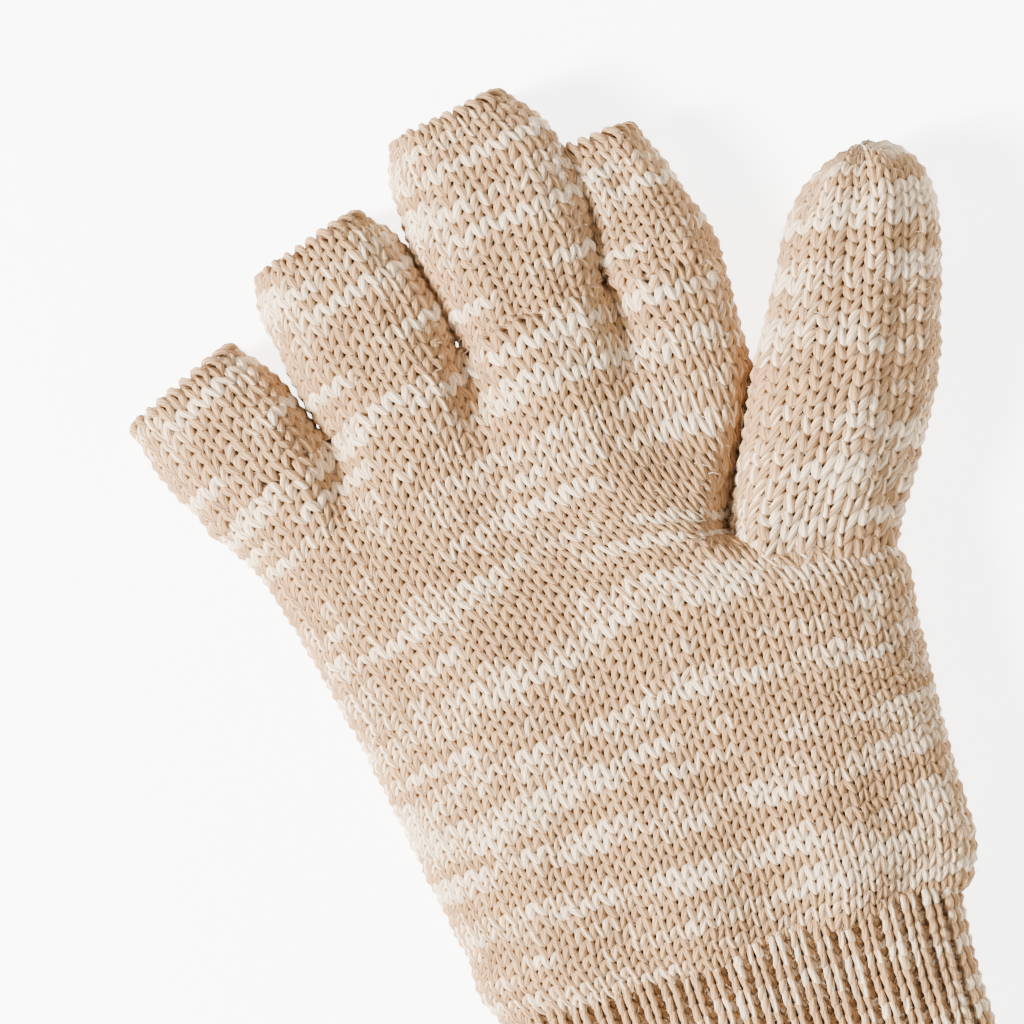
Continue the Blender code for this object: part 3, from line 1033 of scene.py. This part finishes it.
@dataclass(frozen=True)
class Fuzz:
    """Loose fibre ends that stand off a yarn; lengths are in millimetres and angles in radians."""

    each: float = 3.2  # how many there are for each stitch
    steps: int = 2  # sections along each
    sides: int = 3
    slant: tuple[float, float] = (0.35, 1.25)  # from upright
    length: tuple[float, float] = (0.5, 1.7)
    curl: float = 0.9
    radius: tuple[float, float] = (0.02, 0.036)
    taper: float = 0.7  # how much of its radius a fibre loses by its end
    stand: float = 0.72  # height of their roots above the middle of the fabric
    stitch: tuple[float, float] = (2.5, 2.05)  # size of a stitch

    def grow(self, name: str, form: Form, seed: int) -> bpy.types.Object:
        """Grows them all over a tube, in one piece.

        Args:
            name: the piece's name.
            form: the tube that they grow on.
            seed: what their places and slants are drawn from.

        Returns:
            The piece.
        """
        bm = bmesh.new()
        frames = [Matrix.Translation((0, 0, k / self.steps)) for k in range(self.steps + 1)]
        spots = sweep(bm, frames, 1.0, self.sides)
        along = np.array([spots[v][0] / self.steps for v in bm.verts])[None, :]
        count = int(form.wales * form.courses * self.each)
        mesh = repeated("fibres", new_mesh("fibre", bm), (count, (0, 0, 0)))
        rng = np.random.default_rng(seed)
        wale, course = rng.uniform(0, form.wales, count), rng.uniform(0, form.courses, count)
        heading, slant = rng.uniform(0, 2 * math.pi, count), rng.uniform(*self.slant, count)
        size, curl = rng.uniform(*self.length, count), rng.uniform(-self.curl, self.curl, count)
        thick = rng.uniform(*self.radius, count)
        flat = read(mesh.vertices, "co", 3).reshape(count, -1, 3)
        turned = heading[:, None] + curl[:, None] * along
        reach = (size * np.sin(slant))[:, None] * along
        narrow = thick[:, None] * (1 - self.taper * along)
        x = np.cos(turned) * reach + flat[:, :, 0] * narrow
        y = np.sin(turned) * reach + flat[:, :, 1] * narrow
        rise = (size * np.cos(slant))[:, None] * along
        z = self.stand + rise + (flat[:, :, 0] + flat[:, :, 1]) * narrow / 2
        placed = form.place(
            (wale[:, None] + x / self.stitch[0]).ravel(),
            (course[:, None] + y / self.stitch[1]).ravel(),
            z.ravel(),
        )
        placed[:, 2] = np.maximum(placed[:, 2], 0.0)
        mesh.vertices.foreach_set("co", placed.ravel())
        mesh.name = name
        mesh.shade_smooth()
        return new_piece(name, mesh)


# ---------------------------------------------------------------- knitted pieces


@dataclass
class Wardrobe:
    """The finished materials, made once."""

    yarn: bpy.types.Material
    edge: bpy.types.Material
    rib: bpy.types.Material
    ground: bpy.types.Material
    rib_ground: bpy.types.Material
    fibre: bpy.types.Material
    elastic: bpy.types.Material
    satin: bpy.types.Material


@dataclass
class Knit:
    """A knitted tube: its form and how it is worked."""

    name: str
    form: Form
    start: int = 0  # where its colour bands start
    stitch: Stitch = Stitch.PLAIN
    loop: Loop = field(default_factory=Loop)
    most_rows: int = 16
    web_depth: float = -0.42  # where the web lies, from the middle of the fabric
    lap: float = 0.0  # how many courses the web runs on, below the first, into what it grows from
    web_wall: float = 0.25
    edge_yarn: float = 0.56  # radius of the yarn that binds an edge
    edge_turn: float = 0.95  # radius of its turns
    edge_steps: int = 10  # sections in each of its turns
    edge_rise: float = 1.1  # how much further its turns reach out than along
    edge_sink: float = 0.15
    edge_start: int = 40  # how far on its colour bands start

    def pieces(self, finish: bpy.types.Material, slot: str) -> list[bpy.types.Object]:
        """Knits the tube in pieces of a few courses each.

        Args:
            finish: the yarn's material.
            slot: not used.

        Returns:
            The pieces, from the cuff's end.
        """
        made = []
        parts = math.ceil(self.form.courses / self.most_rows)
        edges = [round(k * self.form.courses / parts) for k in range(parts + 1)]
        for number, (low, high) in enumerate(zip(edges, edges[1:]), start=1):
            swatch = Swatch(self.loop, self.stitch, self.form.wales, high - low)
            name = f"{self.name}_{number}" if parts > 1 else self.name
            piece = swatch.lay(name, self.form, low, self.start)
            piece.data.materials.append(finish)
            made.append(piece)
        return made

    def fibres(self, finish: bpy.types.Material) -> bpy.types.Object:
        """The tube's loose fibre ends.

        Args:
            finish: their material.

        Returns:
            The fibres.
        """
        made = Fuzz().grow(f"{self.name}_fibres", self.form, self.form.seed + 100)
        made.data.materials.append(finish)
        return made

    def ground(self, finish: bpy.types.Material) -> bpy.types.Object:
        """The closed web of the fabric behind the loops, which keeps light from showing through.

        Args:
            finish: its material.

        Returns:
            The web, as one thin sheet round the tube.
        """
        bm = bmesh.new()
        form = self.form
        bmesh.ops.create_grid(bm, x_segments=form.wales, y_segments=form.courses, size=0.5)
        flat = np.array([v.co[:] for v in bm.verts])
        placed = form.place(
            (flat[:, 0] + 0.5) * form.wales * 0.999999,
            (flat[:, 1] + 0.5) * (form.courses + self.lap) - self.lap,
            np.full(len(flat), self.web_depth),
        )
        for v, point in zip(bm.verts, placed):
            v.co = point
        bmesh.ops.remove_doubles(bm, verts=bm.verts[:], dist=20 * WELD)
        mesh = new_mesh(f"{self.name}_web", bm)
        mesh.materials.append(finish)
        mesh.shade_smooth()
        web = new_piece(f"{self.name}_web", mesh)
        wall = web.modifiers.new("wall", "SOLIDIFY")
        wall.thickness = self.web_wall * MM
        wall.offset = -1.0
        return web

    def edge(self, name: str, course: float, finish: bpy.types.Material) -> bpy.types.Object:
        """The bound edge: a yarn whipped round the last course, once for each wale.

        Args:
            name: the piece's name.
            course: which course it lies on.
            finish: its material.

        Returns:
            The edge.
        """
        k = np.arange(self.form.wales * self.edge_steps) / self.edge_steps
        angle = 2 * math.pi * k
        spacing = self.form.length() / MM / self.form.courses
        up = course + self.edge_turn * np.cos(angle) / spacing
        depth = self.edge_turn * self.edge_rise * np.sin(angle) - self.edge_sink
        yarn = Rope(self.edge_yarn, self.start + self.edge_start)
        piece = yarn.lay(name, self.form.place(k, up, depth))
        piece.data.materials.append(finish)
        return piece


# ---------------------------------------------------------------- sub-assemblies


@dataclass(kw_only=True)
class SubAssembly:
    """A knitted tube and what is sewn to it."""

    name: str
    wardrobe: Wardrobe
    knit: Knit
    tubes: list[bpy.types.Object] = field(default_factory=list)  # the yarn, from the cuff's end
    web: bpy.types.Object | None = None
    fibres: bpy.types.Object | None = None

    def work(self, yarn: bpy.types.Material, ground: bpy.types.Material, slot: str) -> None:
        """Knits the tube.

        Args:
            yarn: the yarn's material.
            ground: the material of the web behind it.
            slot: passed on to the knit's pieces, which do not use it.
        """
        self.tubes = self.knit.pieces(yarn, slot)
        self.web = self.knit.ground(ground)
        self.fibres = self.knit.fibres(self.wardrobe.fibre)

    def spread(self, sewn: list[bpy.types.Object]) -> None:
        """Args:
            sewn: pieces sewn to it besides its own yarn and fibres; not used.
        """
        flat = (self.knit.form.girth(), self.knit.form.length())

    def report(self, others: list[bpy.types.Object]) -> None:
        """Logs each piece and its faces."""
        for piece in (*self.tubes, self.web, self.fibres, *others):
            log.info("%s: %s, %d faces", self.name, piece.name, len(piece.data.polygons))


@dataclass(kw_only=True)
class HandTube(SubAssembly):
    """The body of the glove, from the wrist to the knuckles, with the stitches at the forks."""

    forks: dict[str, tuple]  # node to how far across, along, and from what height to what height
    wrist: tuple
    bar_yarn: float = 0.5  # radius of the yarn that closes a fork
    bar_turn: float = 0.42  # radius of its turns
    bar_pitch: float = 1.1  # how far apart its turns are
    bars: dict[str, bpy.types.Object] = field(default_factory=dict)

    def build(self) -> "HandTube":
        """Knits the tube and works the fork stitches.

        Returns:
            Itself.
        """
        self.work(self.wardrobe.yarn, self.wardrobe.ground, "marl_knit")
        steps = self.knit.edge_steps
        for name, (x, y, low, high) in self.forks.items():
            k = np.arange(int((high - low) / self.bar_pitch * steps) + 1) / steps
            across = self.bar_turn * np.cos(2 * math.pi * k)
            along = self.bar_turn * np.sin(2 * math.pi * k)
            path = np.column_stack((x + across, y + along, low + k * self.bar_pitch)) * MM
            bar = Rope(self.bar_yarn, start=7, closed=False).lay(f"{name}_stitches", path)
            bar.data.materials.append(self.wardrobe.edge)
            self.bars[name] = bar
        return self

    def dress(self) -> None:
        """Sets what each piece rides on and stands for."""
        for piece in (self.tubes[0], self.web, self.fibres):
            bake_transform(piece)
        for piece in self.tubes[1:]:
            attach(piece, "hand")
        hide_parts("hand_tube")
        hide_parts("wrist_courses")
        for name, bar in self.bars.items():
            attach(bar, "hand")
            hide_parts(name)
        self.spread([])
        self.report([*self.bars.values()])


@dataclass(kw_only=True)
class Cuff(SubAssembly):
    """The ribbed cuff with its whipped mouth, elastic threads and care label."""

    wrist: tuple
    elastic_at: tuple = (0.22, 0.42, 0.62)  # shares of the cuff's length from the mouth
    elastic_radius: float = 0.28
    elastic_depth: float = -1.75  # from the middle of the fabric
    label_steps: tuple[int, int] = (24, 14)
    label_wall: float = 0.4
    label_bevel: float = 0.1
    label_lie: tuple[float, float, float] = (0.35, 0.06, 0.12)  # its height, wave and curl, as shares
    threads: list[bpy.types.Object] = field(default_factory=list)
    welt: bpy.types.Object | None = None
    label: bpy.types.Object | None = None
    label_flat: tuple = ()  # the label's size, laid flat

    def build(self) -> "Cuff":
        """Knits the cuff and makes what is sewn in it.

        Returns:
            Itself.
        """
        form = self.knit.form
        self.work(self.wardrobe.rib, self.wardrobe.rib_ground, "rib_knit")
        self.welt = self.knit.edge("cuff_welt", 0.1, self.wardrobe.edge)
        for number, share in enumerate(self.elastic_at, start=1):
            k = np.arange(form.wales * 2) / 2
            depth = np.full(len(k), self.elastic_depth)
            path = form.place(k, np.full(len(k), share * form.courses), depth)
            thread = Rope(self.elastic_radius).lay(f"elastic_{number}", path)
            thread.data.materials.append(self.wardrobe.elastic)
            self.threads.append(thread)
        self.label = self.make_label()
        return self

    def make_label(self) -> bpy.types.Object:
        """A blank satin label, folded over and sewn inside the mouth.

        Returns:
            The label.
        """
        low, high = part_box("care_label")
        size, middle = high - low, (low + high) / 2
        bm = bmesh.new()
        across, along = self.label_steps
        bmesh.ops.create_grid(bm, x_segments=across, y_segments=along, size=0.5)
        lie, wave, curl = self.label_lie
        for v in bm.verts:
            bent = math.sin(v.co.x * 5.0) * wave + (v.co.y + 0.5) ** 2 * curl
            height = low.z + size.z * (lie + bent)
            v.co = (middle.x + v.co.x * size.x, middle.y + v.co.y * size.y, height)
        mesh = new_mesh("label", bm)
        mesh.materials.append(self.wardrobe.satin)
        mesh.shade_smooth()
        label = new_piece("label", mesh)
        wall = label.modifiers.new("fold", "SOLIDIFY")
        wall.thickness = self.label_wall * MM
        soft = label.modifiers.new("soft_edge", "BEVEL")
        soft.width = self.label_bevel * MM
        soft.segments = 2
        self.label_flat = (size.x, size.y)
        return label

    def dress(self) -> None:
        """Sets what each piece rides on and stands for."""
        for piece in (self.tubes[-1], self.web, self.fibres):
            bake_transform(piece)
        for piece in (*self.tubes[:-1], self.welt, *self.threads, self.label):
            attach(piece, "cuff")
        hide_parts("cuff_rib")
        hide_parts("cuff_edge")
        for number, thread in enumerate(self.threads, start=1):
            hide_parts(f"cuff_elastic_{number}")
        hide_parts("care_label")
        self.spread([self.welt])
        self.report([self.welt, *self.threads, self.label])


@dataclass(kw_only=True)
class Digit(SubAssembly):
    """A finger or the thumb: a tube that grows from the hand."""

    pivot: tuple  # where it bends, in plan
    lean: float  # which way it points, in degrees from +Y
    stretch: tuple = (0.0, 2 * FOLD)  # where the fabric about the joint starts and ends, past the pivot
    nodes: tuple = ("root", "stub", "rim")
    open_end: bool = True
    rims: list[bpy.types.Object] = field(default_factory=list)

    def build(self) -> "Digit":
        """Knits the tube, and binds its end if it is open.

        Returns:
            Itself.
        """
        self.work(self.wardrobe.yarn, self.wardrobe.ground, "marl_knit")
        if self.open_end:
            course = self.knit.form.courses + 0.1
            self.rims = [self.knit.edge(f"{self.name}_binding", course, self.wardrobe.edge)]
        return self

    def dress(self) -> None:
        """Sets what each piece rides on and stands for."""
        for piece in (*self.tubes, self.web, self.fibres):
            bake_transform(piece)
        for rim in self.rims:
            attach(rim, self.name)
        stands = [f"{self.name}_{node}" for node in self.nodes]
        if self.rims:
            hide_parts(stands.pop())
        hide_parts(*stands)
        self.spread(self.rims)
        self.report(self.rims)


# ---------------------------------------------------------------- the glove


JOINT_HEIGHT = 7.5
WRIST = tuple((5.2 * MM, y * MM, JOINT_HEIGHT * MM) for y in (-31 + FOLD, -31 - FOLD))
FORKS = {
    "little_ring_fork": (-29.9, 58.6, 4.0, 9.5),
    "ring_middle_fork": (-7.4, 64.3, 4.0, 9.5),
    "middle_index_fork": (16.2, 66.6, 4.0, 9.5),
    "thumb_fork": (20.2, 21.8, 8.0, 14.5),
}


def hand_form() -> HandForm:
    """The hand's pressed shape.

    Returns:
        Its form, from the wrist up.
    """
    left = [(-30.6, -31.6), (-32.6, -27), (-32.6, -22), (-33.8, -15.4), (-35.8, -2.7)]
    left += [(-37.6, 10), (-40.2, 22.9), (-43.7, 36.1), (-46.2, 42.9), (-50.2, 49)]
    right = [(41.6, -31.6), (43.6, -27), (44.5, -15), (45.3, -1), (45.9, 12), (45.8, 25.8)]
    right += [(41.5, 32), (36.5, 37.5), (33.6, 44), (33, 52), (33, 59), (33.2, 66.6)]
    return HandForm(
        wales=72,
        courses=47,
        left=left,
        right=right,
        thick=[14.5, 17.6, 18.0, 18.0, 18.0, 17.6, 16.8, 15.6],
        seed=3,
        wrinkle=0.75,
        forks=[-29.9, -7.4, 16.0],
        thumb_fork=(20.3, 21.8),
        thumb_lean=25.0,
    )


def finger_forms() -> dict[str, Form]:
    """The four fingers' pressed shapes.

    Returns:
        Body to form.
    """
    return {
        "little": Form(
            wales=22,
            courses=9,
            root_arch=0.4,
            left=[(-50.4, 48.6), (-52.8, 53.6), (-55.4, 59.7), (-57.5, 66.6)],
            right=[(-30.0, 58.3), (-33, 66.4), (-35.9, 71.9), (-38.6, 74.8)],
            thick=[14.6, 14.4, 14.0, 13.4],
            seed=11,
        ),
        "ring": Form(
            wales=23,
            courses=12,
            left=[(-29.8, 58.4), (-32.4, 66.4), (-33.7, 73.2), (-34.3, 78.4), (-33.4, 82.4)],
            right=[(-7.6, 64.0), (-8.3, 72.3), (-9.9, 79.4), (-11.6, 84), (-14.8, 87.9)],
            thick=[15.2, 14.6, 14.0, 13.2],
            floor=[0.0, 1.0, 1.4, 1.4],
            seed=12,
        ),
        "middle": Form(
            wales=24,
            courses=16,
            root_arch=0.8,
            left=[(-7.2, 64.1), (-9.2, 72), (-10.5, 80), (-10.6, 86.7), (-10.3, 91.6), (-8.8, 95.4)],
            right=[(15.8, 66.4), (16.6, 72.2), (16.9, 79.7), (16.2, 87.5), (14.2, 93.6), (10.1, 98.6)],
            thick=[15.4, 15.0, 14.6, 13.6],
            floor=[0.0, 0.6, 1.0, 1.0],
            seed=13,
        ),
        "index": Form(
            wales=18,
            courses=12,
            root_arch=0.8,
            left=[(15.2, 66.4), (14.4, 72), (13.9, 79), (13.4, 84), (12.6, 87.4)],
            right=[(33.1, 66.2), (33, 71), (31.8, 76.7), (29.5, 83.5), (27, 88.4)],
            thick=[13.8, 12.2, 11.8, 11.4],
            seed=14,
            wrinkle=0.45,
        ),
    }


def thumb_form() -> ThumbForm:
    """The thumb's pressed shape; it lies over the edge of the hand and closes in a dome.

    Returns:
        Its form, from its root up.
    """
    left = [(20.2, 21.5), (21.6, 26.8), (23.9, 32.1), (27, 38.7), (30.2, 45.3), (33.6, 51.9)]
    left += [(36.8, 57), (39.8, 62.1), (42.8, 67.3), (46.6, 71.6), (51.4, 74.4), (56.4, 75.4)]
    right = [(45.8, 19.2), (49.2, 25.4), (53.2, 31.4), (56.8, 37.4), (59.7, 43.6), (62, 50)]
    right += [(64, 56), (65.6, 62), (66, 67), (64.8, 71.4), (61.8, 74.4), (58.6, 75.3)]
    return ThumbForm(
        wales=22,
        courses=31,
        left=left,
        right=right,
        thick=[17.8, 16.6, 15.0, 14.4, 14.4, 14.6, 14.2, 13.0, 2.4],
        floor=[0.3, 0.5, 0.8, 1.0, 1.0, 1.0, 1.2, 2.0, 6.4],
        lift=[0.0, 1.6, 3.8, 4.4, 4.0, 2.4, 1.2, 0.5, 0.0],
        lift_fall=(0.5, 1.0),
        root_arch=-1.1,
        seed=15,
        wrinkle=0.45,
    )


def cuff_form() -> Form:
    """The cuff's pressed shape.

    Returns:
        Its form, from the mouth up.
    """
    return Form(
        wales=84,
        courses=33,
        left=[(-30.4, -96.5), (-29.6, -80), (-28.6, -60), (-28.4, -42), (-29.2, -30.6)],
        right=[(40.8, -96.5), (40.0, -80), (39.2, -60), (39.0, -42), (39.8, -30.6)],
        thick=[14.6, 14.4, 14.0, 13.6, 13.6],
        floor=[0.8, 0.8, 0.8, 0.8, 0.8],
        seed=21,
        wrinkle=0.4,
    )


def make_wardrobe() -> Wardrobe:
    """Makes the finished materials.

    Returns:
        All of them.
    """
    web = PlainFinish("web_shade", (0.66, 0.46, 0.32, 1), (0.54, 0.37, 0.25, 1))
    rib_web = PlainFinish("rib_web_shade", (0.92, 0.74, 0.60, 1), (0.8, 0.62, 0.48, 1))
    fibre = PlainFinish("loose_fibre", (0.94, 0.78, 0.6, 1), (0.72, 0.45, 0.25, 1))
    elastic = PlainFinish("elastic_thread", (0.62, 0.47, 0.36, 1), (0.5, 0.37, 0.28, 1), 0.6)
    satin = PlainFinish("label_satin", (0.86, 0.84, 0.8, 1), (0.8, 0.78, 0.74, 1), 0.35, 2400, 0.04)
    return Wardrobe(
        yarn=MarlYarn("marl_yarn").material(),
        edge=MarlYarn("edge_yarn", amount=0.6).material(),
        rib=MarlYarn("rib_yarn", amount=0.9, sunk_painted_shade=0.1).material(),
        ground=web.material(),
        rib_ground=rib_web.material(),
        fibre=fibre.material(),
        elastic=elastic.material(),
        satin=satin.material(),
    )


def build_glove() -> None:
    """Makes the glove, sub-assembly by sub-assembly, from the cuff up."""
    wardrobe = make_wardrobe()
    ribs = Loop(radius=0.66, wale=1.95, lean=0.15)
    knit = Knit("cuff_rib", cuff_form(), 80, Stitch.RIB, ribs, most_rows=14, web_depth=-0.75)
    Cuff(name="cuff", wardrobe=wardrobe, knit=knit, wrist=WRIST).build().dress()
    knit = Knit("hand_knit", hand_form())
    HandTube(name="hand", wardrobe=wardrobe, knit=knit, forks=FORKS, wrist=WRIST).build().dress()
    turns = {
        "little": ((-39.476, 53.799), 26.0),
        "ring": ((-18.607, 61.306), 14.0),
        "middle": ((4.222, 65.445), 6.6),
        "index": ((24.412, 67.539), 5.0),
    }
    for name, form in finger_forms().items():
        pivot, lean = turns[name]
        knit = Knit(f"{name}_knit", form, start=47, lap=0.9)
        Digit(name=name, wardrobe=wardrobe, knit=knit, pivot=pivot, lean=lean).build().dress()
    thumb = Digit(
        name="thumb",
        wardrobe=wardrobe,
        knit=Knit("thumb_knit", thumb_form(), start=130, most_rows=32),
        pivot=(33.546, 15.902),
        lean=-24.0,
        stretch=(6.0, 15.0),
        nodes=("root", "tube", "tip"),
        open_end=False,
    )
    thumb.build().dress()


# ---------------------------------------------------------------- studio


def make_floor() -> None:
    """A pale floor that glows a little, so that it stays evenly white."""
    bm = bmesh.new()
    bmesh.ops.create_grid(bm, x_segments=1, y_segments=1, size=3.0)
    mesh = new_mesh("floor", bm)
    floor = new_piece("floor", mesh)
    floor.location.z = -0.1 * MM
    paint = bpy.data.materials.new("floor_white")
    paint.use_nodes = True
    shader = paint.node_tree.nodes["Principled BSDF"]
    shader.inputs["Base Color"].default_value = (0.96, 0.96, 0.96, 1)
    shader.inputs["Emission Color"].default_value = (1, 1, 1, 1)
    shader.inputs["Emission Strength"].default_value = 4.5
    shader.inputs["Roughness"].default_value = 1.0
    shader.inputs["Specular IOR Level"].default_value = 0.0
    mesh.materials.append(paint)


def make_world() -> None:
    """Plain white light from all sides."""
    world = bpy.data.worlds.new("studio")
    world.use_nodes = True
    back = world.node_tree.nodes["Background"]
    back.inputs["Color"].default_value = (1, 1, 1, 1)
    back.inputs["Strength"].default_value = 1.0
    bpy.context.scene.world = world


@dataclass(frozen=True)
class Lamp:
    """A round area light that faces the glove."""

    name: str
    place: tuple[float, float, float]  # in metres
    size: float  # in metres
    power: float  # in watts

    def light(self) -> None:
        """Adds it to the scene."""
        lamp = bpy.data.lights.new(self.name, "AREA")
        lamp.shape = "DISK"
        lamp.size = self.size
        lamp.energy = self.power
        made = bpy.data.objects.new(self.name, lamp)
        made.location = self.place
        way = Vector((0, 0.01, 0)) - Vector(self.place)
        made.rotation_euler = way.to_track_quat("-Z", "Y").to_euler()
        bpy.context.scene.collection.objects.link(made)


@dataclass(frozen=True)
class Camera:
    """The camera, which looks straight down."""

    lens: float = 135
    sensor: float = 36
    place: tuple[float, float, float] = (-7.2, 39.8, 572)
    turn: float = -17  # round the line of sight, in degrees

    def set_up(self) -> None:
        """Adds it to the scene and looks through it."""
        lens = bpy.data.cameras.new("camera")
        lens.lens = self.lens
        lens.sensor_width = self.sensor
        lens.clip_start = 0.01
        lens.dof.use_dof = False
        camera = bpy.data.objects.new("camera", lens)
        camera.location = [part * MM for part in self.place]
        camera.rotation_euler = (0, 0, math.radians(self.turn))
        bpy.context.scene.collection.objects.link(camera)
        bpy.context.scene.camera = camera


def make_studio() -> None:
    """Pale floor, soft light from the left, and the camera."""
    make_floor()
    make_world()
    Lamp("key", (-0.86, 0.1, 0.58), 0.35, 76.0).light()
    Lamp("fill", (0.8, -0.3, 0.9), 0.8, 5.0).light()
    Camera().set_up()


def main() -> None:
    """Loads the frame and builds everything."""
    logging.basicConfig(level=logging.INFO, format="%(message)s")
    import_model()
    build_glove()
    make_studio()


if __name__ == "__main__":
    main()
